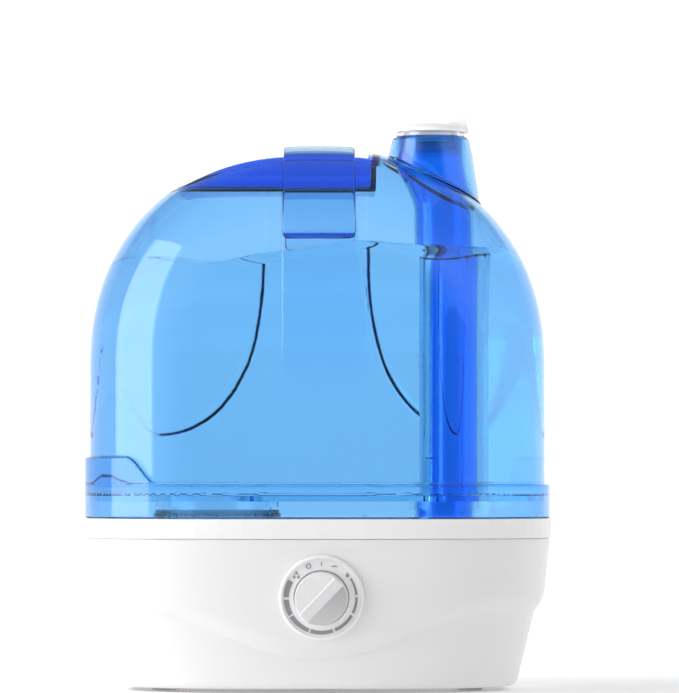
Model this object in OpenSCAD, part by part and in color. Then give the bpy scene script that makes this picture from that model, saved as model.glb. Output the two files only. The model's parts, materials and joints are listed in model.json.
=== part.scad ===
// Cool mist humidifier: a white base holding the mist works, and a clear tank that lifts off it.
// Millimetres. +Z up, -Y front, +X right. The origin is under the middle of the whole object.

/* [Base] */
// Width of the base at its rim
base_w = 210; // [200:1:222]
// Depth of the base at its rim
base_d = 126; // [122:1:134]
// Wall of the base housing
base_wall = 2.2; // [1.8:0.1:2.6]
// Height of the rim's top, where the tank stands
rim_z = 76.3; // [75.8:0.1:77]
// Height of the seam between the housing and the tray's rim
seam_z = 67.5; // [66:0.1:68.5]
// Squareness of the plan outline, 2 being an ellipse
plan_m = 2.8; // [2.6:0.1:3]
// Height of the wave's crease at the middle of the front
wave_low_z = 14.3; // [12:0.1:16]
// Height of the wave's crease at the sides
wave_high_z = 35; // [32:0.5:38]
// Height of the step that the wave makes
wave_step_h = 8.4; // [7:0.1:10]

/* [Dial] */
// Dial centre to the right of the middle
dial_x = 2; // [0:0.5:4]
// Height of the dial centre
dial_z = 42.2; // [41.8:0.1:42.6]
// Radius of the raised dial ring
dial_r = 18.7; // [18:0.1:19.2]
// Radius of the knob
knob_r = 11.7; // [11:0.1:11.8]
// Height of the knob's grip bar above the housing
knob_h = 10; // [8:0.5:12]
// Direction that the knob points in, clockwise from straight up
knob_angle = 43.7; // [0:0.1:90]

/* [Tank] */
// Height at which the tank's sides begin to curve in
shoulder_z = 144.6; // [140:0.1:150]
// Height of the dome above its shoulder
dome_h = 97.5; // [96:0.5:99]
// Roundness of the dome, 2 being an ellipse
dome_n = 2.2; // [2:0.05:2.4]
// Step in from the tank's foot to its wall
foot_step = 2.2; // [1.8:0.1:2.6]
// Height of the tank foot's top
foot_top_z = 91.5; // [90:0.5:93]
// Wall of the tank
tank_wall = 2.2; // [1.8:0.1:2.6]
// Depth of the pressed panels in the rear wall
panel_depth = 3; // [1:0.5:4]
// Height of the floor of the handle recess
recess_z = 224; // [222:0.5:226]
// Width of the handle recess from front to back
recess_w = 40; // [36:1:44]
// Right-hand end of the handle recess
recess_end_x = 24; // [22:0.5:26]
// Width of the handle strap
strap_w = 32; // [28:1:34]

/* [Mist column] */
// Centre of the mist tube to the right of the middle
tube_x = 57; // [56:0.5:58]
// Outer radius of the mist tube
tube_r = 13.6; // [13:0.1:13.8]
// Wall of the mist tube
tube_wall = 1.7; // [1.4:0.1:2]
// Centre of the tower and nozzle to the right of the middle
tower_x = 50.9; // [50:0.1:52]
// Height of the tower's top
tower_top_z = 247.6; // [247:0.1:248]

/* [Valve] */
// Centre of the filler neck to the left of the middle
neck_x = -45; // [-47:0.5:-43]
// Outer radius of the filler neck
neck_r = 24.8; // [24:0.1:26]
// Drop that closes the valve
valve_travel = 5; // [4:0.1:5]

/* [Works] */
// Width of the square fan
fan_w = 50; // [48:1:50]
// Radius of the mains lead's hole in its gland
lead_r = 3.1; // [2.8:0.1:3.4]
// Radius of the transducer disc
disc_r = 10; // [9:0.5:10]

/* [Hidden] */

half_w = base_w/2;
half_d = base_d/2;
lean = 0.105;                     // inward slope of the upper wall
lower_lean = 0.25;                // inward slope of the wall below the wave
dial_tilt = atan(lean);
wave_half_x = 88;                 // the crease is level beyond this
housing_z = 1.5;
foot_r = 6;
edge_r = 4;
gap = 0.3;                        // between bodies that part
plate_z = 2;
plate_t = 2.2;
plate_top = plate_z + plate_t;
floor_z = 52;                     // top of the basin floor
floor_t = 2.3;
under_floor = floor_z - floor_t;
basin_w = 88;                     // half-width and half-depth of the basin
basin_d = 44;
wall_y = half_d - inset_upper(dial_z);
grip_w = 4.9;
grip_r = knob_r - 0.4;
grip_top = grip_r*cos(knob_angle - asin(grip_w/2/grip_r));
knob_front = wall_y + knob_h*cos(dial_tilt) + grip_top*sin(dial_tilt);
body_y = (knob_front - half_d)/2; // brings the whole object's middle to the origin
post_z = floor_z + 4.9;
boss_x = 62;
boss_y = 30;
fan_y = 8;
fan_z = 8;
fan_t = 15;
duct_y = 30;
float_x = 20;
float_y = -28;
gland_x = -30;
gland_y = 48;
gland_z = 34;
board_z = 10;
ring_n = 64;

// Superellipse helpers
function signed_pow(v, p) = sign(v)*pow(abs(v), p);
function plan_point(a, b, t) = [a*signed_pow(cos(t), 2/plan_m), b*signed_pow(sin(t), 2/plan_m)];
function plan_outline(a, b, n = ring_n) = [for (i = [0:n-1]) plan_point(a, b, 360*i/n)];
function smooth(u) = let (v = min(max(u, 0), 1)) v*v*(3 - 2*v);
function mix(a, b, u) = a + (b - a)*u;

// How far the housing's outer face stands in from the rim
function inset_upper(z) = 0.7 + (seam_z - z)*lean;
function inset_lower(z) = 7.7 + (wave_high_z - z)*lower_lean;
function crease_z(x) = wave_low_z
  + (wave_high_z - wave_low_z)*(1 - cos(180*min(abs(x), wave_half_x)/wave_half_x))/2;

// One point of the housing's face: u runs 0..1 up the lower wall, 1..2 over the step, 2..3 to the seam
function housing_point(t, u, wall) =
  let (x = plan_point(half_w, half_d, t)[0], c = crease_z(x), low = housing_z + edge_r,
       z = u < 1 ? mix(low, c, u) : u < 2 ? mix(c, c + wave_step_h, u - 1)
                                  : mix(c + wave_step_h, seam_z, u - 2),
       i = u < 1 ? inset_lower(z)
         : u < 2 ? mix(inset_lower(c), inset_upper(c + wave_step_h), smooth(u - 1))
                 : inset_upper(z),
       p = plan_point(half_w - i - wall, half_d - i - wall, t))
  [p[0], p[1], z];
function housing_edge(t, q, wall) =
  let (i = inset_lower(housing_z + edge_r) + edge_r*(1 - sin(q)) + wall,
       p = plan_point(half_w - i, half_d - i, t))
  [p[0], p[1], housing_z + edge_r*(1 - cos(q))];

// A skin through rings of equally many points, each ring anticlockwise from above
module loft(rings, closed = false) {
  n = len(rings[0]);
  m = len(rings);
  sides = [for (k = [0:(closed ? m - 1 : m - 2)], i = [0:n-1], h = [0, 1])
    let (a = k*n, b = ((k + 1)%m)*n, j = (i + 1)%n)
    h == 0 ? [a + i, b + i, b + j] : [a + i, b + j, a + j]];
  caps = closed ? [] : [[for (i = [0:n-1]) i], [for (i = [n-1:-1:0]) (m - 1)*n + i]];
  polyhedron([for (r = rings, p = r) p], concat(sides, caps), convexity = 8);
}

module at_body() { translate([0, body_y, 0]) children(); }
module at_dial() { at_body() translate([dial_x, -wall_y, dial_z]) rotate([90 + dial_tilt, 0, 0]) children(); }
module prism(a, b, z0, z1) { translate([0, 0, z0]) linear_extrude(z1 - z0) polygon(plan_outline(a, b)); }
module post(x, y, z0, z1, r) { translate([x, y, z0]) cylinder(r = r, h = z1 - z0, $fn = 48); }
module at_corners(x, y) { for (sx = [-1, 1], sy = [-1, 1]) translate([sx*x, sy*y, 0]) children(); }
// Keeps a mesh of facets as a mesh, without changing its size
module as_mesh() { resize([0, 0, 0]) children(); }

// A round lead along a list of points
function unit(v) = v/norm(v);
function heading(p, i) = unit(p[min(i + 1, len(p) - 1)] - p[max(i - 1, 0)]);
module lead(points, r) {
  sides = 8;
  loft([for (i = [0:len(points)-1])
    let (d = heading(points, i), s = unit(cross(d, abs(d[2]) > 0.9 ? [0, 1, 0] : [0, 0, 1])), w = cross(s, d))
    [for (k = [0:sides-1]) points[i] + r*(s*cos(360*k/sides) + w*sin(360*k/sides))]]);
}

// ---- Base ----

module base_housing() {
  outer = concat([for (q = [0, 45]) [for (i = [0:ring_n-1]) housing_edge(360*i/ring_n, q, 0)]],
    [for (u = [0, 1, 1.25, 1.5, 1.75, 2, 3]) [for (i = [0:ring_n-1]) housing_point(360*i/ring_n, u, 0)]]);
  inner = concat([for (u = [3, 2, 1.5, 1, 0]) [for (i = [0:ring_n-1]) housing_point(360*i/ring_n, u, base_wall)]],
    [[for (i = [0:ring_n-1]) housing_edge(360*i/ring_n, 0, base_wall)]]);
  color("white") as_mesh() difference() {
    at_body() loft(concat(outer, inner), closed = true);
    at_dial() translate([0, 0, -10]) cylinder(r = 16.8, h = 20, $fn = 64);
    at_body() translate([gland_x, gland_y, gland_z]) rotate([-90, 0, 0]) cylinder(r = 6.1, h = 30, $fn = 48);
  }
}

module base_tray() {
  color("white") at_body() difference() {
    union() {
      prism(half_w, half_d, seam_z + 0.2, rim_z);
      prism(half_w - 3.5, half_d - 3.5, seam_z - 4, rim_z);
      prism(basin_w + 2.3, basin_d + 2.3, under_floor, rim_z);
      post(tube_x, 0, under_floor - 8.2, floor_z, 17);
      at_corners(boss_x, boss_y) post(0, 0, plate_top, floor_z, 4);
    }
    difference() {
      prism(half_w - 5.5, half_d - 5.5, seam_z - 5, rim_z - 2.5);
      prism(basin_w + 2.3, basin_d + 2.3, seam_z - 6, rim_z);
    }
    difference() {
      prism(basin_w, basin_d, floor_z, rim_z + 1);
      post(neck_x, 0, floor_z - 1, post_z, 2.5);
      post(neck_x, 0, floor_z - 1, floor_z + 2, 6);
      post(float_x, float_y, floor_z - 1, floor_z + 20, 2.5);
      translate([-16, duct_y - 9, floor_z - 1]) cube([32, 18, 21]);
      translate([tube_x, 0, floor_z - 1]) difference() {
        cylinder(r = 27, h = 7, $fn = 64);
        translate([0, 0, -1]) cylinder(r = 25, h = 10, $fn = 64);
        for (q = [0, 90]) rotate([0, 0, q]) translate([-30, -4, 2]) cube([60, 8, 10]);
      }
    }
    translate([-14, duct_y - 7, under_floor - 1]) cube([28, 14, 30]);
    translate([tube_x, 0, under_floor - 3.7]) cylinder(r1 = 9, r2 = 13, h = floor_t + 3.8, $fn = 64);
    post(tube_x, 0, under_floor - 6, floor_z, 9);
    post(tube_x, 0, under_floor - 9, under_floor - 5.2, 12.3);
    for (q = [30, 150, 270]) translate([tube_x, 0, 0]) rotate([0, 0, q]) post(14.6, 0, under_floor - 9, under_floor - 2, 0.95);
    at_corners(boss_x, boss_y) post(0, 0, plate_top - 1, plate_top + 16, 1.45);
  }
}

module bottom_plate() {
  color("whitesmoke") at_body() difference() {
    union() {
      prism(half_w - 21.9, half_d - 21.9, plate_z, plate_top);
      translate([0, fan_y, 0]) at_corners(20, 20) post(0, 0, plate_top, fan_z, 3);
      for (s = [-1, 1]) translate([54*s, 0, 0]) at_corners(18, 18) post(0, 0, plate_top, board_z, 2.6);
    }
    at_corners(boss_x, boss_y) {
      post(0, 0, plate_z - 1, plate_top + 1, 1.8);
      post(0, 0, plate_z - 1, plate_z + 1, 3.3);
    }
    translate([0, fan_y, 0]) at_corners(20, 20) post(0, 0, plate_z + 0.8, fan_z + 1, 1.25);
    for (k = [-5:5]) {
      half = sqrt(23*23 - 16*k*k);
      translate([4*k - 1, fan_y - half, plate_z - 1]) cube([2, 2*half, plate_t + 2]);
    }
  }
}

module rubber_feet() {
  color("dimgray") at_body() at_corners(68, 18) rotate_extrude($fn = 48)
    polygon([[0, 0], [foot_r - 1, 0], [foot_r, 1], [foot_r, plate_z], [0, plate_z]]);
}

// A pan-head screw standing on its head, point up
module screw(head_r, head_h, shank_r, length) {
  difference() {
    union() {
      cylinder(r = head_r, h = head_h, $fn = 32);
      cylinder(r = shank_r, h = head_h + length, $fn = 24);
      translate([0, 0, head_h + length]) cylinder(r1 = shank_r, r2 = shank_r*0.3, h = shank_r, $fn = 24);
    }
    for (q = [0, 90]) rotate([0, 0, q]) translate([-head_r*0.6, -0.35, -1]) cube([head_r*1.2, 0.7, 1 + head_h*0.5]);
  }
}

module case_screws() {
  color("silver") at_body() at_corners(boss_x, boss_y) translate([0, 0, plate_z - 0.9]) screw(3, 1.85, 1.4, 15);
}

// ---- Dial, in its own frame: Z out of the housing, Y up ----

dish_z = 1.5;

module dial_ring() {
  color("white") at_dial() rotate_extrude($fn = 96)
    polygon(concat([[3.7, -2.6], [16.5, -2.6], [16.5, 0.15], [dial_r, 0.15], [dial_r, 1.2]],
      [for (q = [0:15:90]) [dial_r - 1.2 + 1.2*cos(q), 1.4 + 1.2*sin(q)]],
      [for (q = [90:-30:0]) [16.6 + 0.8*sin(q), dish_z + 1.1*(1 - cos(q))]],
      [[knob_r + 0.5, dish_z], [knob_r + 0.35, dish_z - 0.2], [knob_r + 0.35, -1], [3.7, -1]]));
}

// An arc-shaped mark that grows from r width w0 to w1 between two clock angles
function clock(r, q) = [r*sin(q), r*cos(q)];
function mark_r(q) = 15.3;
function mark_w(q) = mix(0.75, 2.4, (q - 56)/(299 - 56));
module level_mark(q0, q1) {
  steps = 6;
  polygon(concat(
    [for (k = [0:steps]) let (q = mix(q0, q1, k/steps)) clock(mark_r(q) + mark_w(q)/2, q)],
    [for (k = [steps:-1:0]) let (q = mix(q0, q1, k/steps)) clock(mark_r(q) - mark_w(q)/2, q)]));
}
module droplet(size) {
  polygon(concat([[0, size]], [for (q = [30:-30:-210]) size*0.48*[cos(q), sin(q)]]));
}
module dial_marks() {
  marks = [[56, 85], [89, 116], [120, 157], [161, 198], [201, 238], [241, 267], [271, 299]];
  color("gray") at_dial() translate([0, 0, dish_z + 0.02]) linear_extrude(0.25) {
    for (m = marks) level_mark(m[0], m[1]);
    translate(clock(15.3, 48) - [0, 0.5]) droplet(1.5);
    for (k = [[-0.9, -0.8], [0.9, -0.8], [0, 0.9]]) translate(clock(14.7, 312) + k) droplet(1.1);
    translate(clock(15, 0)) translate([-0.2, -0.9]) square([0.4, 1.8]);
    translate(clock(15, 338)) difference() {
      circle(r = 1.2, $fn = 12);
      circle(r = 0.8, $fn = 12);
    }
    translate(clock(15, 22)) translate([-1.2, -0.25]) square([2.4, 0.5]);
  }
}

module pot_body() {
  color("darkslategray") at_dial() difference() {
    union() {
      translate([-7, -7, -12]) cube([14, 14, 6.5]);
      cylinder(r = 3.5, h = 0.8, $fn = 48);
      translate([0, 0, -6]) cylinder(r = 3.5, h = 6.8, $fn = 48);
    }
    translate([0, 0, -11]) cylinder(r = 3.05, h = 13, $fn = 48);
  }
}

module pot_nut() {
  color("silver") at_dial() translate([0, 0, -0.95]) difference() {
    cylinder(r = 5.6, h = 1.6, $fn = 6);
    translate([0, 0, -1]) cylinder(r = 3.55, h = 4, $fn = 48);
  }
}

module knob() {
  slope = 14;                       // fall of the faces beside the grip bar
  color("lightgray") at_dial() rotate([0, 0, -knob_angle]) difference() {
    union() {
      rotate_extrude($fn = 96) polygon([[0, -0.5], [knob_r - 0.2, -0.5], [knob_r, 0], [knob_r - 0.2, 6.6], [0, 6.6]]);
      intersection() {
        translate([-grip_w/2, -knob_r, 5]) cube([grip_w, 2*knob_r, knob_h - 5]);
        cylinder(r = grip_r, h = knob_h, $fn = 96);
      }
    }
    for (s = [0, 180]) rotate([0, 0, s]) translate([grip_w/2, -knob_r - 1, 6.1]) rotate([0, slope, 0])
      cube([knob_r, 2*knob_r + 2, 10]);
    translate([0, 0, -1]) cylinder(r = 6.6, h = 2.6, $fn = 48);
    translate([0, 0, -1]) cylinder(r = 3.02, h = 5.5, $fn = 48);
  }
}

module knob_shaft() {
  color("silver") at_dial() translate([0, 0, -10.9]) cylinder(r = 3, h = 15.3, $fn = 48);
}

module control_board() {
  color("seagreen") at_dial() {
    translate([-17, -13, -13.6]) cube([34, 18.5, 1.5]);
    for (s = [-1, 1]) translate([11*s - 2.5, -11, -12.05]) cube([5, 8, 2.5]);
  }
}

// ---- Works in the base ----

module circuit_board(x) {
  at_body() translate([x - 22, -22, board_z]) difference() {
    cube([44, 44, 1.6]);
    for (a = [4, 40], b = [4, 40]) translate([a, b, -1]) cylinder(r = 1.1, h = 4, $fn = 24);
  }
}
module driver_board() { color("seagreen") circuit_board(54); }
module power_board() { color("seagreen") circuit_board(-54); }

module driver_components() {
  top = board_z + 1.6;
  color("darkslategray") at_body() {
    for (k = [[38, -12, 4, 12], [38, -2, 3, 9], [70, -14, 3, 10]]) post(k[0], k[1], top, top + k[2]*2.6, k[2]);
    translate([48, -18, top]) cube([12, 6, 7]);
    translate([36, 8, top]) cube([8, 9, 2.5]);
    translate([47, -8, top]) difference() {
      cylinder(r = 5, h = 7, $fn = 48);
      translate([0, 0, 1]) cylinder(r = 1.5, h = 7, $fn = 24);
    }
  }
}

module heat_sink() {
  color("lightgray") at_body() translate([48, -2, board_z + 1.6]) {
    cube([26, 18, 2.5]);
    for (k = [0:5]) translate([4.8*k, 0, 2]) cube([2, 18, 15]);
  }
}

module transformer() {
  top = board_z + 1.6;
  color("dimgray") at_body() translate([-54, 0, top]) {
    difference() {
      translate([-16, -9, 0]) cube([32, 18, 26]);
      for (s = [-1, 1]) translate([s > 0 ? 5 : -11, -10, 6]) cube([6, 20, 14]);
    }
    difference() {
      translate([-10.8, -13, 6.2]) cube([21.6, 26, 13.6]);
      translate([-5, -14, 6]) cube([10, 28, 14]);
      for (s = [-1, 1]) translate([s > 0 ? 10.9 : -20, -14, 5]) cube([10, 30, 20]);
    }
  }
}

module fan_frame() {
  color("darkslategray") at_body() translate([0, fan_y, fan_z]) {
    difference() {
      translate([-fan_w/2, -fan_w/2, 0]) cube([fan_w, fan_w, fan_t]);
      translate([0, 0, -1]) cylinder(r = 23.4, h = fan_t + 2, $fn = 96);
      at_corners(20, 20) translate([0, 0, -1]) cylinder(r = 1.7, h = fan_t + 2, $fn = 24);
    }
    cylinder(r = 10, h = 2.5, $fn = 64);
    for (q = [45:90:315]) rotate([0, 0, q]) translate([9, -1.2, 0]) cube([15.4, 2.4, 1.8]);
    cylinder(r = 1.5, h = 11, $fn = 32);
  }
}

module fan_rotor() {
  blades = 7;
  color("black") at_body() translate([0, fan_y, fan_z]) {
    difference() {
      union() {
        translate([0, 0, 3]) cylinder(r = 11.5, h = 10.5, $fn = 64);
        for (k = [0:blades-1]) rotate([0, 0, 360*k/blades]) translate([11, 0, 8]) rotate([38, 0, 0])
          translate([0, -6.2, -0.6]) cube([11.6, 12.4, 1.2]);
      }
      translate([0, 0, 2]) cylinder(r = 1.56, h = 9.6, $fn = 32);
      translate([0, 0, 2]) difference() {
        cylinder(r = 10.3, h = 9, $fn = 64);
        cylinder(r = 3.5, h = 9, $fn = 48);
      }
    }
  }
}

module fan_screws() {
  color("silver") at_body() translate([0, fan_y, fan_z + fan_t + 1.6 + 1.7]) at_corners(20, 20)
    rotate([180, 0, 0]) screw(2.8, 1.7, 1.2, 17.5);
}

module air_duct() {
  low = fan_z + fan_t;
  color("gainsboro") at_body() difference() {
    union() {
      translate([-fan_w/2, fan_y - fan_w/2, low]) cube([fan_w, fan_w, 1.6]);
      hull() {
        translate([-17, fan_y - 17, low + 1.5]) cube([34, 34, 0.5]);
        translate([-15.6, duct_y - 8.6, under_floor - 0.6]) cube([31.2, 17.2, 0.6]);
      }
    }
    hull() {
      translate([-15.4, fan_y - 15.4, low - 1]) cube([30.8, 30.8, 2.6]);
      translate([-14, duct_y - 7, under_floor - 0.1]) cube([28, 14, 0.6]);
    }
    translate([0, fan_y, low - 1]) at_corners(20, 20) cylinder(r = 1.7, h = 4, $fn = 24);
  }
}

module transducer_disc() {
  color("silver") at_body() post(tube_x, 0, under_floor - 7.3, under_floor - 6.1, disc_r);
}
module transducer_seal() {
  color("black") at_body() translate([tube_x, 0, under_floor - 8.2]) rotate_extrude($fn = 64)
    polygon([[8.6, 0], [12.2, 0], [12.2, 2.95], [8.6, 2.95], [8.6, 2.15], [disc_r + 0.05, 2.15],
      [disc_r + 0.05, 0.85], [8.6, 0.85]]);
}
module transducer_clamp() {
  color("silver") at_body() translate([tube_x, 0, under_floor - 10]) difference() {
    cylinder(r = 17, h = 1.75, $fn = 64);
    translate([0, 0, -1]) cylinder(r = 7, h = 4, $fn = 48);
    for (q = [30, 150, 270]) rotate([0, 0, q]) translate([14.6, 0, -1]) cylinder(r = 1.2, h = 4, $fn = 24);
  }
}
module transducer_screws() {
  color("gray") at_body() for (q = [30, 150, 270]) translate([tube_x, 0, under_floor - 11.3])
    rotate([0, 0, q]) translate([14.6, 0, 0]) screw(2, 1.25, 0.9, 7);
}

module float() {
  color("whitesmoke") at_body() translate([float_x, float_y, floor_z + 0.3]) difference() {
    cylinder(r = 9, h = 8, $fn = 64);
    translate([0, 0, -1]) cylinder(r = 2.58, h = 10, $fn = 48);
    translate([0, 0, 7.2]) difference() {
      cylinder(r = 6.5, h = 2, $fn = 48);
      cylinder(r = 4.5, h = 2, $fn = 48);
    }
  }
}
module float_retainer() {
  color("whitesmoke") at_body() translate([float_x, float_y, floor_z + 18.2]) difference() {
    cylinder(r = 5, h = 1.5, $fn = 48);
    translate([0, 0, -1]) cylinder(r = 2.53, h = 4, $fn = 48);
  }
}
module level_switch() {
  color("black") at_body() translate([float_x, float_y, 0]) {
    translate([-9, -3, under_floor - 4.1]) cube([18, 6, 4]);
    translate([-13, 0, under_floor - 2.1]) rotate([0, 90, 0]) cylinder(r = 0.8, h = 4, $fn = 24);
  }
}

module cord_gland() {
  color("whitesmoke") at_body() translate([gland_x, gland_y, gland_z]) rotate([-90, 0, 0]) difference() {
    union() {
      cylinder(r = 5.8, h = 13.2, $fn = 64);
      translate([0, 0, 13.2]) cylinder(r1 = 5.8, r2 = 5, h = 0.8, $fn = 64);
      translate([0, 0, 3.2]) cylinder(r = 6.8, h = 2, $fn = 64);
    }
    translate([0, 0, -1]) cylinder(r = lead_r, h = 16, $fn = 64);
  }
}

// Leads inside the base, each along points chosen by hand
module transducer_lead() {
  color("red") at_body() lead([[57, 0, 42.3], [57, 0, 38], [56, -3, 35], [52, -10, 33], [46, -18, 30],
    [42, -23, 24], [44, -24, 18], [48, -21.6, 15], [52, -19.6, 14.6]], 0.8);
}
module fan_lead() {
  color("black") at_body() lead([[25.2, -10, 10], [27, -10.4, 9], [29, -10, 11.5], [31.5, -8, 14],
    [34, -7, 15], [36, -6.8, 13.8], [37.2, -6.8, 12.4]], 0.7);
}
module dial_lead() {
  color("gray") at_body() lead([[10, -44.2, 36.4], [12, -42, 33], [17, -38, 27], [24, -33, 22],
    [31, -27, 18], [35, -20, 15.5], [36.6, -19, 13.6], [36.8, -19, 12]], 0.9);
}
module mains_lead() {
  color("white") at_body() lead([[-30, 47.9, 34], [-30, 44, 33.6], [-32, 38, 31], [-38, 32, 25], [-44, 26, 19],
    [-47, 20, 16], [-48, 17.4, 13.8], [-48, 17.2, 12]], 2);
}

// ---- Tank ----

function foot_half_w() = half_w - 0.7;
function wall_half_w() = foot_half_w() - foot_step;
function dome_scale(z) = z <= shoulder_z ? 1
  : pow(max(1 - pow((z - shoulder_z)/dome_h, dome_n), 0), 1/dome_n);
// The pressed panels: how far the rear wall stands in
function panel_in(x, z) = let (e = norm([(abs(x) - 47)/27, (z - 151)/38])) panel_depth*smooth((1 - e)/0.2);

// One ring of the tank wall: k scales the plan, and off moves the face out
function tank_ring(z, off, n = ring_n) = [for (i = [0:n-1])
  let (t = 360*i/n, s = dome_scale(z - (z > shoulder_z ? off*(z - shoulder_z)/dome_h : 0)),
       p = plan_point((wall_half_w())*s + off, (wall_half_w() - half_w + half_d)*s + off, t))
  [p[0], p[1] - (sin(t) > 0.01 ? panel_in(p[0], z) : 0), z]];
function foot_ring(z, off) = [for (i = [0:ring_n-1])
  let (p = plan_point(foot_half_w() + off, foot_half_w() - half_w + half_d + off, 360*i/ring_n)) [p[0], p[1], z]];

wall_levels = [105, 112, 118, 126, 138, 151, 164, 176, 184, 190];
cap_levels = [199, 208, 216, 223, 229, 234, 237.6, 240, 241.5];
module tank_solid(off, top) {
  loft(concat([foot_ring(rim_z + gap, 0), foot_ring(foot_top_z, 0), tank_ring(foot_top_z + 0.3, off)],
    [for (z = concat(wall_levels, cap_levels)) if (z < top - 0.3) tank_ring(z, off)],
    [tank_ring(top, off)]));
}
module tank_cavity() {
  a = foot_half_w() - 2.4;
  top = shoulder_z + dome_h - tank_wall;
  loft(concat(
    [for (z = [rim_z, 86.5]) [for (i = [0:ring_n-1])
      let (p = plan_point(a, a - half_w + half_d, 360*i/ring_n)) [p[0], p[1], z]]],
    [tank_ring(86.6, -tank_wall)],
    [for (z = concat(wall_levels, cap_levels)) if (z < top - 2.5) cavity_ring(z)],
    [cavity_ring(top - 0.6)]));
}
// The cavity's dome is the outer dome brought in on every side
function cavity_ring(z) = [for (i = [0:ring_n-1])
  let (t = 360*i/ring_n, h = dome_h - tank_wall,
       s = z <= shoulder_z ? 1 : pow(max(1 - pow((z - shoulder_z)/h, dome_n), 0), 1/dome_n),
       a = wall_half_w() - tank_wall,
       p = plan_point(a*s, (a - half_w + half_d)*s, t))
  [p[0], p[1] - (sin(t) > 0.01 ? panel_in(p[0], z) : 0), z]];

module recess_shape(grow) {
  x0 = -wall_half_w() - 10;
  w = recess_w/2 + grow;
  r = 5 + grow;
  z0 = recess_z - grow;
  translate([recess_end_x + grow, 0, 0]) rotate([0, -90, 0]) linear_extrude(recess_end_x + grow - x0)
    polygon(concat([for (q = [0:15:90]) [z0 + r - r*cos(q), -w + r - r*sin(q)]],
      [[z0 + 60, -w], [z0 + 60, w]],
      [for (q = [90:-15:0]) [z0 + r - r*cos(q), w - r + r*sin(q)]]));
}

module tank_shell() {
  color([0.3, 0.6, 0.95, 0.5]) at_body() as_mesh() difference() {
    tank_solid(0, shoulder_z + dome_h - 0.25);
    recess_shape(0);
    difference() {
      tank_cavity();
      recess_shape(tank_wall);
    }
    translate([tower_x, 0, 200]) cylinder(r = 20.2, h = 60, $fn = 64);
  }
}

module tank_floor() {
  a = foot_half_w() - 2.5;
  color([0.35, 0.65, 0.95, 0.6]) at_body() difference() {
    union() {
      prism(a, a - half_w + half_d, 84, 86.4);
      post(neck_x, 0, 66.6, 85, neck_r);
      post(tube_x, 0, 80, 90, tube_r + 2.2);
      post(neck_x, 0, 81.5, 85, neck_r + 3);
    }
    post(neck_x, 0, 60, 90, neck_r - 2.5);
    post(tube_x, 0, 70, 95, tube_r + 0.05);
  }
}

// The strap is a slice of a slightly larger dome, hollowed where it crosses the recess
module handle_strap() {
  color([0.2, 0.5, 0.9, 0.7]) at_body() as_mesh() difference() {
    intersection() {
      tank_solid(1.2, shoulder_z + dome_h + 0.9);
      translate([0.9 - strap_w/2, -80, 196]) cube([strap_w, 160, 60]);
    }
    difference() {
      tank_solid(0.06, shoulder_z + dome_h);
      translate([-40, -recess_w/2 + 0.06, recess_z]) cube([80, recess_w - 0.12, 40]);
    }
    difference() {
      tank_solid(-3, shoulder_z + dome_h - 3.5);
      translate([-40, -recess_w/2 - 9, 190]) cube([80, 8.9, 60]);
      translate([-40, recess_w/2 + 0.1, 190]) cube([80, 8.9, 60]);
    }
  }
}

module mist_tower() {
  top = tower_top_z;
  color([0.05, 0.35, 0.85, 0.8]) at_body() difference() {
    translate([tower_x, 0, 0]) rotate_extrude($fn = 96) polygon(concat(
      [[20.9, 205], [22.9, 205], [22.2, 218.4], [18.8, 240.4], [17.7, top - 2.7]],
      [for (q = [20:20:80]) [15.4 + 2.2*cos(q), top - 2.2 + 2.2*sin(q)]],
      [[15.4, top], [13.9, top], [13.9, 238.1], [16, 238.1], [16, 236], [20.4, 220]]));
    tank_solid(0.05, shoulder_z + dome_h - 0.2);
  }
}

module mist_tube() {
  r_in = tube_r - tube_wall;
  color([0.05, 0.35, 0.85, 0.8]) at_body() difference() {
    union() {
      post(tube_x, 0, 66, 218, tube_r);
      hull() {
        translate([tube_x, 0, 214]) cylinder(r = tube_r, h = 4, $fn = 32);
        translate([tower_x, 0, 237.5]) cylinder(r = 15.6, h = 0.5, $fn = 32);
      }
    }
    hull() {
      translate([tube_x, 0, 214]) cylinder(r = r_in, h = 4, $fn = 32);
      translate([tower_x, 0, 237.5]) cylinder(r = 13.9, h = 0.7, $fn = 32);
    }
    post(tube_x, 0, 60, 216, r_in);
  }
}

// ---- Tank cap and its valve ----

cap_floor = 62;
module tank_cap() {
  ribs = 36;
  color("white") at_body() translate([neck_x, 0, 0]) difference() {
    union() {
      post(0, 0, 57, 80, neck_r + 3);
      for (k = [0:ribs-1]) rotate([0, 0, 360*k/ribs]) translate([neck_r + 2.8, -0.7, 57.5]) cube([0.9, 1.4, 21]);
    }
    post(0, 0, cap_floor + 2.2, 81, neck_r + 0.4);
    post(0, 0, 56, cap_floor, neck_r + 0.4);
    difference() {
      post(0, 0, 60, 66, 6.5);
      post(0, 0, 60, cap_floor + 2.2, 3.6);
      for (q = [0, 120, 240]) rotate([0, 0, q]) translate([2, -0.8, 60]) cube([6, 1.6, cap_floor + 2.2 - 60]);
    }
    post(0, 0, 56, 70, 2.06);
  }
}
module cap_gasket() {
  color("dimgray") at_body() translate([neck_x, 0, cap_floor + 2.2]) difference() {
    cylinder(r = neck_r, h = 2.35, $fn = 64);
    translate([0, 0, -1]) cylinder(r = neck_r - 3, h = 5, $fn = 64);
  }
}
module valve_spring() {
  turns = 2.5;
  steps = 16;
  wire = 0.35;
  low = 58.75;
  high = cap_floor - 0.05;
  path = [for (k = [0:turns*steps]) let (q = 360*k/steps)
    [3.2*cos(q), 3.2*sin(q), mix(low + wire, high - wire, k/(turns*steps))]];
  color("silver") at_body() translate([neck_x, 0, 0]) lead(path, wire);
}
module valve_plunger() {
  color("whitesmoke") at_body() translate([neck_x, 0, 0]) {
    post(0, 0, 57.2, 58.7, 4.4);
    post(0, 0, 58, 73, 2);
    post(0, 0, 72.2, 74, 6);
  }
}
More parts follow.
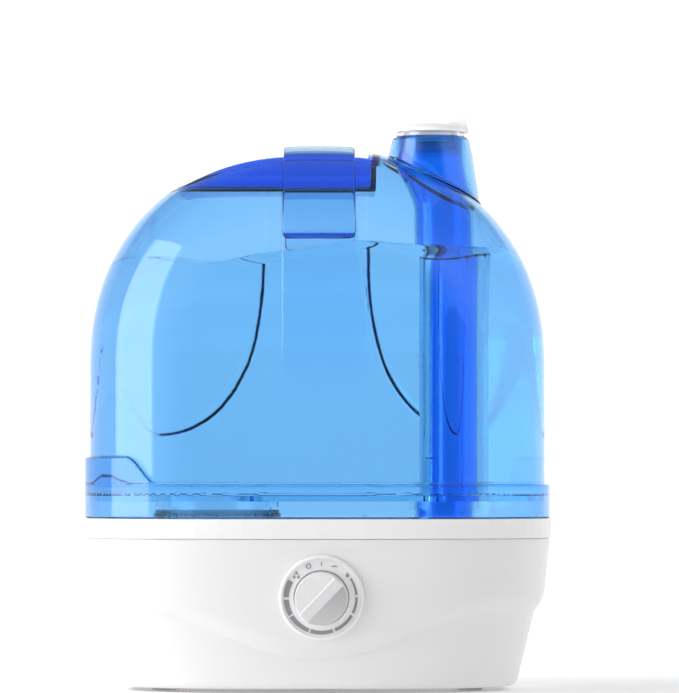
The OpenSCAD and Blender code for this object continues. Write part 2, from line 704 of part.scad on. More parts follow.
module valve_seal() {
  color("dimgray") at_body() translate([neck_x, 0, cap_floor + 2.4 + valve_travel]) difference() {
    cylinder(r = 8.3, h = 2.7, $fn = 64);
    translate([0, 0, -1]) cylinder(r = 2.05, h = 5, $fn = 32);
  }
}

// ---- Nozzle ----

ring_top = tower_top_z + 1.9;
spout_l = 8;
module nozzle_ring() {
  color("aliceblue") at_body() translate([tower_x, 0, 0]) difference() {
    union() {
      post(0, 0, tower_top_z + gap - 0.1, ring_top, 15.4);
      post(0, 0, 239.5, ring_top, 13.6);
    }
    post(0, 0, 238, ring_top + 1, 11.9);
  }
}
// The spout's own frame: it points to the right, and its mouth stands almost upright
module at_spout(low) {
  translate([16.2, 0, low + 3.522]) rotate([0, 80, 0]) translate([0, 0, -spout_l]) children();
}

module nozzle_cap() {
  low = ring_top + gap - 0.1;
  color("white") at_body() translate([tower_x, 0, 0]) difference() {
    union() {
      rotate_extrude($fn = 96) polygon(concat([[0, low], [15.5, low], [15.5, low + 0.8]],
        [for (q = [0:15:90]) [11.5 + 4*cos(q), low + 0.8 + 3.2*sin(q)]], [[0, low + 4.3]]));
      post(0, 0, 242, low + 0.5, 11.82);
      intersection() {
        at_spout(low) cylinder(r1 = 1.8, r2 = 3.4, h = spout_l, $fn = 48);
        post(0, 0, low, low + 20, 30);
      }
    }
    post(0, 0, 241, low + 2.4, 10.2);
    at_spout(low) translate([0, 0, -1]) cylinder(r = 2, h = 20, $fn = 48);
  }
}

base_housing();
base_tray();
bottom_plate();
rubber_feet();
case_screws();
dial_ring();
dial_marks();
pot_body();
pot_nut();
knob();
knob_shaft();
control_board();
driver_board();
driver_components();
heat_sink();
power_board();
transformer();
fan_frame();
fan_rotor();
fan_screws();
air_duct();
transducer_disc();
transducer_seal();
transducer_clamp();
transducer_screws();
float();
float_retainer();
level_switch();
cord_gland();
transducer_lead();
fan_lead();
dial_lead();
mains_lead();
tank_shell();
tank_floor();
handle_strap();
mist_tower();
mist_tube();
tank_cap();
cap_gasket();
valve_spring();
valve_plunger();
valve_seal();
nozzle_ring();
nozzle_cap();
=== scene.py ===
"""Looks of the cool mist humidifier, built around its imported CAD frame."""
import json
import math

import bpy
import numpy as np
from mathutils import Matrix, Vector


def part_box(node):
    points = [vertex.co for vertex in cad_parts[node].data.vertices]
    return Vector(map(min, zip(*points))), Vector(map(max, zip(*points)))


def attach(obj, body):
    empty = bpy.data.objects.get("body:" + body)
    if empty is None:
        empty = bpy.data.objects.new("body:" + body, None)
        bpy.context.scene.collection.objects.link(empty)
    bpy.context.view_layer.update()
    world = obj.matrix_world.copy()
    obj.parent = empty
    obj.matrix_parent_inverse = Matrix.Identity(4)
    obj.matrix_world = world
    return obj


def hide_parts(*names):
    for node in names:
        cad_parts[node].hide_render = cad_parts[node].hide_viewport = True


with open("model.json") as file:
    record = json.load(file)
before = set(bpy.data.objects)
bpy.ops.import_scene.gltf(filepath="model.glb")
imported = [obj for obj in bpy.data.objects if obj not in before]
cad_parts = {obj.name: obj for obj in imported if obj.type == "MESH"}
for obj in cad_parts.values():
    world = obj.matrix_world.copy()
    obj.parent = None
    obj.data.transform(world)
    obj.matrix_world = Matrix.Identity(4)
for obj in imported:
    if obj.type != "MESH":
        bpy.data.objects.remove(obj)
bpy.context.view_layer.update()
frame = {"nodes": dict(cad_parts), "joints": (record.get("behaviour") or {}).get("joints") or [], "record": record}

# ---------------------------------------------------------------- measures
# Shapes are in millimetres until a mesh is made; materials and the studio are in metres.
MM = 0.001


def node_box(node):
    """Lowest and highest corner of a CAD node, in millimetres."""
    low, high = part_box(node)
    return np.array(low) / MM, np.array(high) / MM


def joint(name):
    return next(j for j in frame["joints"] if j["name"] == name)


TRAY_LOW, TRAY_HIGH = node_box("base_tray")
HOUSING_LOW, HOUSING_HIGH = node_box("base_housing")
TANK_LOW, TANK_HIGH = node_box("tank_shell")
STRAP_LOW, STRAP_HIGH = node_box("handle_strap")
CAP_LOW, CAP_HIGH = node_box("nozzle_cap")
KNOB_LOW, KNOB_HIGH = node_box("knob")
DISC_LOW, DISC_HIGH = node_box("transducer_disc")
TOWER_TOP = node_box("mist_tower")[1][2]
TUBE_FOOT = node_box("mist_tube")[0][2]
RING_TOP = node_box("nozzle_ring")[1][2]

HALF_W = TRAY_HIGH[0]
HALF_D = (TRAY_HIGH[1] - TRAY_LOW[1]) / 2
SIDE = HALF_W - HALF_D  # the plan is this much longer than it is deep, on each side
BODY_Y = (TRAY_HIGH[1] + TRAY_LOW[1]) / 2
SEAM_Z = HOUSING_HIGH[2]
HOUSING_Z = HOUSING_LOW[2]
TUBE_X = (DISC_LOW[0] + DISC_HIGH[0]) / 2
TOWER_X = joint("nozzle_turn")["pos_m"][0] / MM
DIAL_Z = joint("knob_turn")["pos_m"][2] / MM

# The plan outline and the base
PLAN_M = 2.8            # squareness of the plan outline
UPPER_INSET = 0.7       # of the upper wall from the rim, at the seam
UPPER_LEAN = 0.105
LOWER_INSET = 7.7       # of the lower wall from the rim, at the wave's highest level
LOWER_LEAN = 0.25
WAVE_LOW_Z = 14.3
WAVE_HIGH_Z = 35.0
WAVE_STEP_H = 8.4
WAVE_HALF_X = 88.0
EDGE_R = 4.0            # rounding of the housing's lower edge
BASE_WALL = 2.2
LIP_OUT = 0.55          # the lip across the front, under the seam
LIP_DROP = 5.2          # how far it reaches down in the middle
LIP_HALF_X = 80.0
LIP_END_X = 84.0        # it fades out before here
LIP_FADE = 16.0
SEAM_IN = 0.5           # small step in at the seam
SEAM_H = 0.8

# The tank's wall and floor
FOOT_W = HALF_W - 0.7
FOOT_WALL = 2.4
FOOT_TOP = 91.5
FOOT_STEP = 2.2
FOOT_RISE = 12.0        # how much higher the foot's step is at the tank's left end
FOOT_RISE_X = -70.0     # where the rise starts, towards the left
FOOT_RISE_W = 14.0
WALL_W = FOOT_W - FOOT_STEP
SHOULDER_Z = 144.6
DOME_H = 97.5
DOME_N = 2.2            # squareness of the dome's upright section
TANK_WALL = 2.2
COLLAR_H = 3.6          # of the floor's collar round the mist tube, above the floor plate
COLLAR_W = 3.15
PLATE_TOP = node_box("tank_floor")[1][2] - COLLAR_H
DRAW_IN_H = 4.4         # height over which the inner face draws in from foot to wall
TOWER_HOLE_R = 20.2
TOWER_HOLE_Z = 200.0

# The two pressed panels of the rear wall, and the band under the strap
PANEL_DEPTH = 3.0
PANEL_EDGE = 4.0
PANELS_X = -0.8         # the middle between the panels
PANEL_OFFSET = 62       # from there to each panel's own axis
PANEL_OUT_W = 15        # half-widths outwards and inwards of that axis
PANEL_IN_W = 41
PANEL_Z = 185           # a panel is straight above this level and rounded below it
PANEL_DROP = 72.5
PANEL_TOP = 234
PANEL_FADE = 12
BAND_OUT = 0.45
BAND_LEFT = -15.4
BAND_RIGHT = 17.0
BAND_WIDEN = 5.5        # more at the right, lower down
BAND_EDGE = 0.8
BAND_Z = 118            # it fades in over 50 mm above this level
BAND_Y = 8              # it is on the front and the back, not across the ends

# Recess, strap, tower, tube and water
RECESS_Z = 224.0
RECESS_W = 40.0
RECESS_R = 5.0
RECESS_START_X = -70.0  # outside the dome, where the recess has run out of it
RECESS_END_X = 24.0
STRAP_END_Z = 198.5
TOWER_EDGE = 2.7        # rounding of the tower's top edge
TOWER_WALL = 1.9
TOWER_BORE_R = 20.3
TUBE_R = 13.6
TUBE_WALL = 1.7
FUNNEL_Z = 214.0        # the tube widens above this level
FUNNEL_R = 15.6
WATER_Z = 192.0
WATER_GAP = 0.06        # above the floor plate

# Nozzle and knob
SPOUT_LEAN = 80.0       # degrees from upright
SPOUT_R = 3.3
SPOUT_L = 8.0
CROWN_R = 15.5
CROWN_H = 4.3
CAP_BORE_R = 10.2
CAP_BORE_H = 2.4
SPIGOT_R = 11.8
KNOB_ANGLE = 43.7       # degrees of the grip bar, clockwise from upright
KNOB_H = 10.0
GRIP_W = 4.9


# ---------------------------------------------------------------- materials
class Nodes:
    """A small helper round one material's node tree."""

    def __init__(self, name):
        self.mat = bpy.data.materials.new(name)
        self.mat.use_nodes = True
        self.tree = self.mat.node_tree
        self.bsdf = next(n for n in self.tree.nodes if n.type == "BSDF_PRINCIPLED")
        self.output = next(n for n in self.tree.nodes if n.type == "OUTPUT_MATERIAL")
        self.place = self.add("ShaderNodeTexCoord").outputs["Object"]

    def add(self, kind, **settings):
        node = self.tree.nodes.new(kind)
        for key, value in settings.items():
            if hasattr(node, key):
                setattr(node, key, value)
            else:
                node.inputs[key].default_value = value
        return node

    def link(self, a, b):
        self.tree.links.new(a, b)

    def noise(self, scale, detail=2.0, stretch=None):
        """Noise over the object's own place; scale is in features a metre."""
        texture = self.add("ShaderNodeTexNoise")
        texture.inputs["Scale"].default_value = scale
        texture.inputs["Detail"].default_value = detail
        source = self.place
        if stretch:
            mapping = self.add("ShaderNodeMapping")
            mapping.inputs["Scale"].default_value = stretch
            self.link(source, mapping.inputs["Vector"])
            source = mapping.outputs["Vector"]
        self.link(source, texture.inputs["Vector"])
        return texture.outputs["Fac"]

    def remap(self, value, low, high, start=0.0, end=1.0):
        """Turns the range from start to end into the range from low to high."""
        node = self.add("ShaderNodeMapRange")
        self.link(value, node.inputs["Value"])
        node.inputs["From Min"].default_value = start
        node.inputs["From Max"].default_value = end
        node.inputs["To Min"].default_value = low
        node.inputs["To Max"].default_value = high
        return node.outputs["Result"]

    def absorb(self, color, density):
        """Colours what is seen through the material's thickness."""
        volume = self.add("ShaderNodeVolumeAbsorption")
        volume.inputs["Color"].default_value = (*color, 1)
        volume.inputs["Density"].default_value = density
        self.link(volume.outputs[0], self.output.inputs["Volume"])

    def tint(self, value, dark, light):
        node = self.add("ShaderNodeMix", data_type="RGBA")
        self.link(value, node.inputs["Factor"])
        node.inputs["A"].default_value = (*dark, 1)
        node.inputs["B"].default_value = (*light, 1)
        return node.outputs["Result"]

    def bump(self, height, distance, strength=1.0, under=None):
        node = self.add("ShaderNodeBump")
        node.inputs["Distance"].default_value = distance
        node.inputs["Strength"].default_value = strength
        self.link(height, node.inputs["Height"])
        if under is not None:
            self.link(under, node.inputs["Normal"])
        return node.outputs["Normal"]

    def set(self, **values):
        for key, value in values.items():
            self.bsdf.inputs[key.replace("_", " ")].default_value = value


WHITE = (1.0, 1.0, 1.0)
TANK_ABSORB = (0.10, 0.60, 0.94)
DEEP_SHINE = (0.15, 0.45, 1.0)
GRAIN = 2200.0          # features a metre of moulded plastic's fine grain
GRAIN_DEPTH = 0.00001   # metres, as are all bump distances
CALM_FLOW = 0.00004     # waviness of the large white faces


def moulded(name, color, rough=0.3, vary=0.015, grain=GRAIN, depth=GRAIN_DEPTH, coat=0.0, flow=0.0002,
            glow=0.0):
    """Moulded opaque plastic: a faint mottle in its colour, a fine grain, and uneven gloss; a glow above 0 is
    painted light that makes it shine by itself.
    """
    n = Nodes(name)
    mottle = n.noise(35.0, 3.0)
    dark = tuple(max(c - vary, 0) for c in color)
    light = tuple(min(c + vary, 1) for c in color)
    n.link(n.tint(mottle, dark, light), n.bsdf.inputs["Base Color"])
    n.link(n.remap(n.noise(90.0, 4.0), rough - 0.05, rough + 0.06), n.bsdf.inputs["Roughness"])
    waves = n.bump(n.noise(14.0, 1.0), flow, 0.25)
    n.link(n.bump(n.noise(grain, 2.0), depth, 0.6, waves), n.bsdf.inputs["Normal"])
    n.set(IOR=1.49, Coat_Weight=coat, Coat_Roughness=0.08, Emission_Color=(*WHITE, 1), Emission_Strength=glow)
    return n.mat


def clear_nodes(name, color, absorb, density, rough=0.015, shine=WHITE, clear=1.0):
    """Clear tinted plastic: coloured through its thickness, with a slight waviness from moulding.

    clear below 1 makes it partly milky."""
    n = Nodes(name)
    n.set(Transmission_Weight=clear, IOR=1.46, Base_Color=(*color, 1), Specular_Tint=(*shine, 1))
    n.link(n.remap(n.noise(60.0, 4.0), rough * 0.6, rough * 1.6), n.bsdf.inputs["Roughness"])
    n.link(n.bump(n.noise(22.0, 1.5, (1.0, 1.0, 0.6)), 0.00012, 0.35), n.bsdf.inputs["Normal"])
    n.absorb(absorb, density)
    return n


def clear_plastic(*args, **options):
    return clear_nodes(*args, **options).mat


def deep_plastic():
    """The recess's liner: milky deep blue, made brighter by a painted blue glow, as though lit from inside."""
    n = clear_nodes("recess_blue", (0.02, 0.32, 1.0), TANK_ABSORB, 4.0, shine=DEEP_SHINE, clear=0.4)
    # painted light: the liner glows blue by itself
    n.set(Emission_Color=(0.0, 0.30, 1.0, 1), Emission_Strength=0.27)
    return n.mat


def knob_painted_shade():
    """The knob's hollow face: satin grey with painted shade, darker at the top and lightening downwards."""
    n = Nodes("knob_painted_shade")
    split = n.add("ShaderNodeSeparateXYZ")
    n.link(n.place, split.inputs["Vector"])
    # painted shade: the grey is darkest towards the top of the knob and lightens downwards
    fall = n.remap(split.outputs["Z"], 0.0, 1.0, (DIAL_Z - 9) * MM, (DIAL_Z + 7) * MM)
    n.link(n.tint(fall, (0.66, 0.66, 0.67), (0.44, 0.44, 0.45)), n.bsdf.inputs["Base Color"])
    n.link(n.remap(n.noise(90.0, 4.0), 0.3, 0.42), n.bsdf.inputs["Roughness"])
    n.link(n.bump(n.noise(GRAIN, 2.0), GRAIN_DEPTH, 0.6), n.bsdf.inputs["Normal"])
    return n.mat


def water_look():
    n = Nodes("water")
    n.set(Transmission_Weight=1.0, IOR=1.33, Roughness=0.0, Base_Color=(0.985, 0.995, 1.0, 1))
    n.link(n.bump(n.noise(55.0, 2.0), 0.0003, 0.3), n.bsdf.inputs["Normal"])
    n.absorb((0.30, 0.80, 0.97), 3.2)
    return n.mat


def metal(name, color, rough=0.3, brushed=None):
    """Bare or plated metal, with brushing along one direction where it is turned or rolled."""
    n = Nodes(name)
    n.set(Metallic=1.0)
    scratches = n.noise(900.0, 3.0, brushed or (1.0, 1.0, 1.0))
    n.link(n.tint(scratches, tuple(c * 0.86 for c in color), color), n.bsdf.inputs["Base Color"])
    n.link(n.remap(scratches, rough - 0.08, rough + 0.12), n.bsdf.inputs["Roughness"])
    n.link(n.bump(scratches, 0.00002, 0.4), n.bsdf.inputs["Normal"])
    return n.mat


def rubbery(name, color, rough=0.7):
    """Rubber or soft PVC: matt, with a powdery grain."""
    n = Nodes(name)
    dust = n.noise(120.0, 5.0)
    n.link(n.tint(dust, tuple(c * 0.8 for c in color), tuple(min(c * 1.2 + 0.01, 1) for c in color)),
           n.bsdf.inputs["Base Color"])
    n.link(n.remap(dust, rough - 0.1, rough + 0.1), n.bsdf.inputs["Roughness"])
    n.link(n.bump(n.noise(3000.0, 2.0), 0.00002, 0.6), n.bsdf.inputs["Normal"])
    return n.mat


def circuit_board_look():
    """Green solder mask with paler copper runs under it."""
    n = Nodes("circuit_board")
    runs = n.add("ShaderNodeTexVoronoi", distance="MANHATTAN")
    runs.inputs["Scale"].default_value = 420.0
    n.link(n.place, runs.inputs["Vector"])
    n.link(n.tint(runs.outputs["Distance"], (0.01, 0.10, 0.04), (0.03, 0.22, 0.10)),
           n.bsdf.inputs["Base Color"])
    n.link(n.remap(n.noise(300.0, 2.0), 0.25, 0.45), n.bsdf.inputs["Roughness"])
    n.link(n.bump(runs.outputs["Distance"], 0.00004, 0.5), n.bsdf.inputs["Normal"])
    return n.mat


def iron_core():
    """Stacked iron laminations, varnished."""
    n = Nodes("transformer_iron")
    sheets = n.add("ShaderNodeTexWave", wave_type="BANDS", bands_direction="Z")
    sheets.inputs["Scale"].default_value = 320.0
    sheets.inputs["Distortion"].default_value = 0.4
    n.link(n.place, sheets.inputs["Vector"])
    n.link(n.tint(sheets.outputs["Fac"], (0.05, 0.04, 0.035), (0.13, 0.11, 0.09)),
           n.bsdf.inputs["Base Color"])
    n.link(n.bump(sheets.outputs["Fac"], 0.00008, 0.7), n.bsdf.inputs["Normal"])
    n.set(Metallic=0.6, Roughness=0.42)
    return n.mat


# How each of the record's material slots looks
SLOT_LOOKS = {
    "housing_white": lambda: moulded("housing_white", (0.90, 0.90, 0.905), 0.33, 0.004, flow=CALM_FLOW),
    "plate_white": lambda: moulded("plate_white", (0.74, 0.74, 0.75), 0.5, 0.02, 900.0, 0.00003),
    "feet_rubber": lambda: rubbery("feet_rubber", (0.60, 0.60, 0.61)),
    "screw_steel": lambda: metal("screw_steel", (0.62, 0.62, 0.64), 0.35),
    "dial_white": lambda: moulded("dial_white", (0.93, 0.93, 0.94), 0.3, 0.006, coat=0.15),
    "mark_grey": lambda: moulded("mark_grey", (0.30, 0.30, 0.31), 0.45, 0.02),
    "pot_plastic": lambda: moulded("pot_plastic", (0.02, 0.025, 0.03), 0.45),
    "nickel": lambda: metal("nickel", (0.72, 0.70, 0.66), 0.22),
    "knob_grey": lambda: moulded("knob_grey", (0.80, 0.80, 0.81), 0.26, 0.012, coat=0.2),
    "circuit_board": circuit_board_look,
    "component_black": lambda: moulded("component_black", (0.02, 0.02, 0.022), 0.4),
    "aluminium": lambda: metal("aluminium", (0.75, 0.76, 0.77), 0.36, (1.0, 18.0, 1.0)),
    "transformer_iron": iron_core,
    "fan_plastic": lambda: moulded("fan_plastic", (0.018, 0.018, 0.02), 0.42, 0.004),
    "duct_plastic": lambda: moulded("duct_plastic", (0.72, 0.72, 0.73), 0.45, 0.02),
    "transducer_silver": lambda: metal("transducer_silver", (0.74, 0.72, 0.66), 0.28),
    "seal_rubber": lambda: rubbery("seal_rubber", (0.50, 0.52, 0.54)),
    "float_white": lambda: moulded("float_white", (0.8, 0.8, 0.8), 0.45),
    "switch_black": lambda: moulded("switch_black", (0.015, 0.015, 0.015), 0.4),
    "gland_white": lambda: moulded("gland_white", (0.78, 0.78, 0.79), 0.4),
    "lead_red": lambda: rubbery("lead_red", (0.45, 0.02, 0.02), 0.45),
    "lead_black": lambda: rubbery("lead_black", (0.02, 0.02, 0.02), 0.45),
    "lead_grey": lambda: rubbery("lead_grey", (0.22, 0.22, 0.23), 0.45),
    "lead_white": lambda: rubbery("lead_white", (0.75, 0.75, 0.75), 0.45),
    "tank_blue": lambda: clear_plastic("tank_blue", (0.66, 0.85, 0.975), TANK_ABSORB, 200.0),
    "floor_blue": lambda: clear_plastic("floor_blue", (0.93, 0.97, 0.995), (0.5, 0.85, 0.98), 12.0),
    "handle_blue": lambda: clear_plastic("handle_blue", (0.97, 0.99, 1.0), TANK_ABSORB, 90.0,
                                         shine=(0.5, 0.75, 1.0)),
    "column_blue": lambda: clear_plastic("column_blue", (0.03, 0.55, 1.0), TANK_ABSORB, 4.0,
                                         shine=DEEP_SHINE),
    "cap_white": lambda: clear_plastic("cap_white", (0.95, 0.97, 0.99), (0.9, 0.95, 1.0), 2.0, 0.25,
                                       clear=0.9),
    "spring_steel": lambda: metal("spring_steel", (0.7, 0.7, 0.72), 0.2),
    # The nozzle's white glows a little: painted light that lifts it out of its shade.
    "nozzle_white": lambda: moulded("nozzle_white", (0.93, 0.915, 0.90), 0.3, 0.008, coat=0.1, glow=0.14),
    "nozzle_ring_clear": lambda: clear_plastic("nozzle_ring_clear", (0.93, 0.97, 1.0), (0.8, 0.9, 1.0), 8.0,
                                               0.1, clear=0.9),
}
LOOKS = {slot: make() for slot, make in SLOT_LOOKS.items()}
TRAY_LOOK = moulded("tray_white", (0.97, 0.97, 0.97), 0.3, 0.004, flow=CALM_FLOW)
RECESS_LOOK = deep_plastic()
SLEEVE_LOOK = clear_plastic("sleeve_blue", (0.80, 0.92, 0.99), TANK_ABSORB, 90.0)
WATER_LOOK = water_look()


# ---------------------------------------------------------------- mesh making
def new_piece(name, points, faces, body, slot, looks=None, which=None, sharp=None, normals=None, replaces=()):
    """Makes a piece from points in millimetres, lets it ride on its body, and hides what it stands for.

    which gives each face's place in the list of looks."""
    mesh = bpy.data.meshes.new(name)
    mesh.from_pydata((np.asarray(points) * MM).tolist(), [], [list(map(int, f)) for f in faces])
    mesh.validate()
    obj = bpy.data.objects.new(name, mesh)
    bpy.context.scene.collection.objects.link(obj)
    for look in looks or [LOOKS[slot]]:
        mesh.materials.append(look)
    mesh.polygons.foreach_set("use_smooth", [True] * len(mesh.polygons))
    if which is not None:
        mesh.polygons.foreach_set("material_index", np.asarray(which).astype(int).tolist())
    if sharp is not None:
        mesh.set_sharp_from_angle(angle=math.radians(sharp))
    if normals is not None:
        mesh.normals_split_custom_set_from_vertices(np.asarray(normals).tolist())
    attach(obj, body)
    if replaces:
        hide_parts(*replaces)
    return obj


def loft(rings):
    """Points and quads of a closed skin through rings of points; the last ring joins the first."""
    rows, columns = len(rings), len(rings[0])
    faces = []
    for k in range(rows):
        a, b = k * columns, (k + 1) % rows * columns
        faces += [(a + i, a + (i + 1) % columns, b + (i + 1) % columns, b + i) for i in range(columns)]
    return np.concatenate(rings), faces


def round_angles(columns):
    return np.linspace(0, 2 * math.pi, columns, endpoint=False)


def circle(x, radius, z, angles):
    """A ring of points about x, on the body's middle line; its radius and height may change on the way."""
    return np.stack([x + radius * np.cos(angles), BODY_Y + radius * np.sin(angles),
                     np.broadcast_to(z, angles.shape)], 1)


def plan_ring(a, b, angles):
    """Superellipse outline with half-width a and half-depth b, about the body's own middle."""
    c, s = np.cos(angles), np.sin(angles)
    p = 2 / PLAN_M
    return a * np.sign(c) * np.abs(c) ** p, b * np.sign(s) * np.abs(s) ** p


def even_angles(count):
    """Angles that space the outline's points evenly enough, with points on both axes."""
    raw = np.linspace(0, 2 * math.pi, 20001)
    x, y = plan_ring(HALF_W, HALF_D, raw)
    along = np.concatenate([[0], np.cumsum(np.hypot(np.diff(x), np.diff(y)))])
    return np.interp(np.linspace(0, along[-1], count, endpoint=False), along, raw)


ANGLES = even_angles(288)


def rounded(corner, before, after, radius, steps=4):
    """Points that round a profile's corner, between the two profile points beside it."""
    c, p, q = (np.array(v, float) for v in (corner, before, after))
    a, b = (p - c) / np.linalg.norm(p - c), (q - c) / np.linalg.norm(q - c)
    return [tuple(c + a * radius * (1 - t) ** 2 + b * radius * t ** 2) for t in np.linspace(0, 1, steps + 1)]


def round_profile(points, radii):
    """A closed profile with its corners rounded."""
    out = []
    for i, (point, radius) in enumerate(zip(points, radii)):
        out += rounded(point, points[i - 1], points[(i + 1) % len(points)], radius)
    return out


# ---------------------------------------------------------------- implicit shapes
def smooth_max(a, b, k):
    """The larger of two distances, with the crease between them rounded by about k."""
    h = np.clip(0.5 + 0.5 * (a - b) / k, 0, 1)
    return b + (a - b) * h + k * h * (1 - h)


def smooth_min(a, b, k):
    return -smooth_max(-a, -b, k)


def smooth_step(u):
    v = np.clip(u, 0, 1)
    return v * v * (3 - 2 * v)


def gradient(f, p, here=None, step=0.05):
    """Slope of f at the points: two-sided, or one-sided where the values there are given."""
    g = np.empty_like(p)
    for axis in range(3):
        d = np.zeros(3)
        d[axis] = step
        if here is None:
            g[:, axis] = (f(p + d) - f(p - d)) / (2 * step)
        else:
            g[:, axis] = (f(p + d) - here) / step
    return g


BLOCK = 4               # cells along a block, whose middle is tried first
REACH = 2.2             # in blocks: farther from the surface than this, a block is not looked into
BATCH = 200000          # grid points at a time


def skin_of(f, low, high, cell):
    """Points, outward normals and quads on the surface f = 0, with one point for each cell it crosses."""
    blocks = [int(math.ceil((h - l) / (cell * BLOCK))) + 1 for l, h in zip(low, high)]
    counts = [n * BLOCK for n in blocks]
    axes = [l + cell * np.arange(n) for l, n in zip(low, counts)]
    middles = [l + cell * BLOCK * (np.arange(n) + 0.5) for l, n in zip(low, blocks)]
    coarse = f(np.stack(np.meshgrid(*middles, indexing="ij"), -1).reshape(-1, 3)).reshape(blocks)
    value = coarse.repeat(BLOCK, 0).repeat(BLOCK, 1).repeat(BLOCK, 2)
    near = np.argwhere(np.abs(value) < REACH * cell * BLOCK)
    for part in np.array_split(near, max(1, len(near) // BATCH)):
        value[tuple(part.T)] = f(np.stack([axes[k][part[:, k]] for k in range(3)], 1))
    inside = value < 0
    corner = [(i, j, k) for i in (0, 1) for j in (0, 1) for k in (0, 1)]

    def view(a, c):
        return a[tuple(slice(o, o + n - 1) for o, n in zip(c, counts))]

    filled = sum(view(inside, c).astype(int) for c in corner)
    active = (filled > 0) & (filled < 8)
    index = np.full(active.shape, -1)
    cells = np.argwhere(active)
    index[active] = np.arange(len(cells))
    total, weight = np.zeros((len(cells), 3)), np.zeros(len(cells))
    where = tuple(cells.T)
    for a in corner:
        for axis in range(3):
            if a[axis]:
                continue
            b = list(a)
            b[axis] = 1
            va, vb = view(value, a)[where], view(value, tuple(b))[where]
            cross = (va < 0) != (vb < 0)
            t = np.where(cross, va / np.where(cross, va - vb, 1), 0)
            point = np.tile(np.array(a, float), (len(cells), 1))
            point[:, axis] = t
            total[cross] += point[cross]
            weight += cross
    points = np.array(low) + cell * (cells + total / weight[:, None])
    for _ in range(2):      # two steps towards the surface itself, each at most half a cell
        here = f(points)
        g = gradient(f, points, here)
        size = np.maximum((g * g).sum(1), 1e-6)
        move = -(here / size)[:, None] * g
        reach = np.linalg.norm(move, axis=1, keepdims=True)
        points += move * np.minimum(1, 0.5 * cell / np.maximum(reach, 1e-9))
    g = gradient(f, points)
    normals = g / np.maximum(np.linalg.norm(g, axis=1, keepdims=True), 1e-9)
    faces = []
    for axis in range(3):
        u, v = (axis + 1) % 3, (axis + 2) % 3
        near = [slice(1, n - 1) for n in counts]
        far = list(near)
        near[axis], far[axis] = slice(0, counts[axis] - 1), slice(1, counts[axis])
        a, b = inside[tuple(near)], inside[tuple(far)]
        for sign, hit in ((1, a & ~b), (-1, ~a & b)):
            at = np.argwhere(hit)
            at[:, u] += 1
            at[:, v] += 1
            quad = []
            for du, dv in ((-1, -1), (0, -1), (0, 0), (-1, 0)):
                c = at.copy()
                c[:, u] += du
                c[:, v] += dv
                quad.append(index[tuple(c.T)])
            quad = np.stack(quad, 1)
            faces.append(quad if sign > 0 else quad[:, ::-1])
    faces = np.concatenate(faces)
    return points, normals, faces[(faces >= 0).all(1)]


def plan_level_of(x, y, a, b):
    """Where a point is on the plan: 0 in the middle, 1 on the outline."""
    return (np.abs(x / a) ** PLAN_M + np.abs(y / b) ** PLAN_M) ** (1 / PLAN_M)


def panel_in(x, z):
    """How far the two pressed panels stand in from the tank's rear wall."""
    across = np.abs(x - PANELS_X) - PANEL_OFFSET
    half = np.where(across > 0, PANEL_OUT_W, PANEL_IN_W)
    u = across / half
    v = np.maximum(PANEL_Z - z, 0) / PANEL_DROP
    e = np.maximum(np.hypot(u, v), 1e-6)
    slope = np.maximum(np.hypot(u / half, v / PANEL_DROP) / e, 1e-6)
    deep = smooth_step((1 - e) / slope / PANEL_EDGE)
    return PANEL_DEPTH * deep * smooth_step((PANEL_TOP - z) / PANEL_FADE)


def band_out(x, y, z):
    """The faint raised band that runs on down the front and back under the handle strap."""
    right = BAND_RIGHT + BAND_WIDEN * smooth_step((215 - z) / 60)
    across = smooth_step((x - BAND_LEFT) / BAND_EDGE) * smooth_step((right - x) / BAND_EDGE)
    return BAND_OUT * across * smooth_step((z - BAND_Z) / 50) * (np.abs(y) > BAND_Y)


def dome_distance(p, off, band=False):
    """About how far a point is outside the tank's dome; off moves the face outwards."""
    x, z = p[:, 0], p[:, 2]
    y = p[:, 1] - BODY_Y
    y = np.where(y > 0, y + panel_in(x, z), y)
    a, b, h = WALL_W + off, WALL_W - SIDE + off, DOME_H + off
    s = plan_level_of(x, y, a, b)
    up = np.maximum(z - SHOULDER_Z, 0) / h
    r = (s ** DOME_N + up ** DOME_N) ** (1 / DOME_N)
    plan = np.hypot(x, y) / np.maximum(s, 1e-6)
    lean = np.hypot(plan * s, np.maximum(z - SHOULDER_Z, 0)) / np.maximum(r, 1e-6)
    d = (r - 1) * np.minimum(lean, h)
    if band:
        d = d - band_out(x, p[:, 1] - BODY_Y, z)
    return d


def recess_distance(p, grow):
    """About how far a point is outside the handle recess, whose floor edges are rounded."""
    r = RECESS_R + grow
    across = np.abs(p[:, 1] - BODY_Y) - (RECESS_W / 2 + grow)
    below = (RECESS_Z - grow) - p[:, 2]
    q = np.stack([across + r, below + r], 1)
    side = np.minimum(q.max(1), 0) + np.linalg.norm(np.maximum(q, 0), axis=1) - r
    return smooth_max(side, p[:, 0] - (RECESS_END_X + grow), 1.0)


def foot_wall(p, off):
    """About how far a point is outside the upright face of the tank's foot."""
    a, b = FOOT_W + off, FOOT_W - SIDE + off
    x, y = p[:, 0], p[:, 1] - BODY_Y
    s = plan_level_of(x, y, a, b)
    return (s - 1) * np.hypot(x, y) / np.maximum(s, 1e-6)


def foot_distance(p, off):
    """About how far a point is outside the tank's stepped foot."""
    top = FOOT_TOP + FOOT_RISE * smooth_step((FOOT_RISE_X - p[:, 0]) / FOOT_RISE_W)
    return smooth_max(foot_wall(p, off), p[:, 2] - top, 0.8)


def cavity_distance(p):
    """About how far a point is outside the tank's inner face, which draws in above the floor plate."""
    share = smooth_step((p[:, 2] - PLATE_TOP - 0.2) / DRAW_IN_H)
    return (1 - share) * foot_wall(p, -FOOT_WALL) + share * dome_distance(p, -TANK_WALL)


# ---------------------------------------------------------------- base
def inset_upper(z):
    return UPPER_INSET + (SEAM_Z - z) * UPPER_LEAN


def inset_lower(z):
    return LOWER_INSET + (WAVE_HIGH_Z - z) * LOWER_LEAN


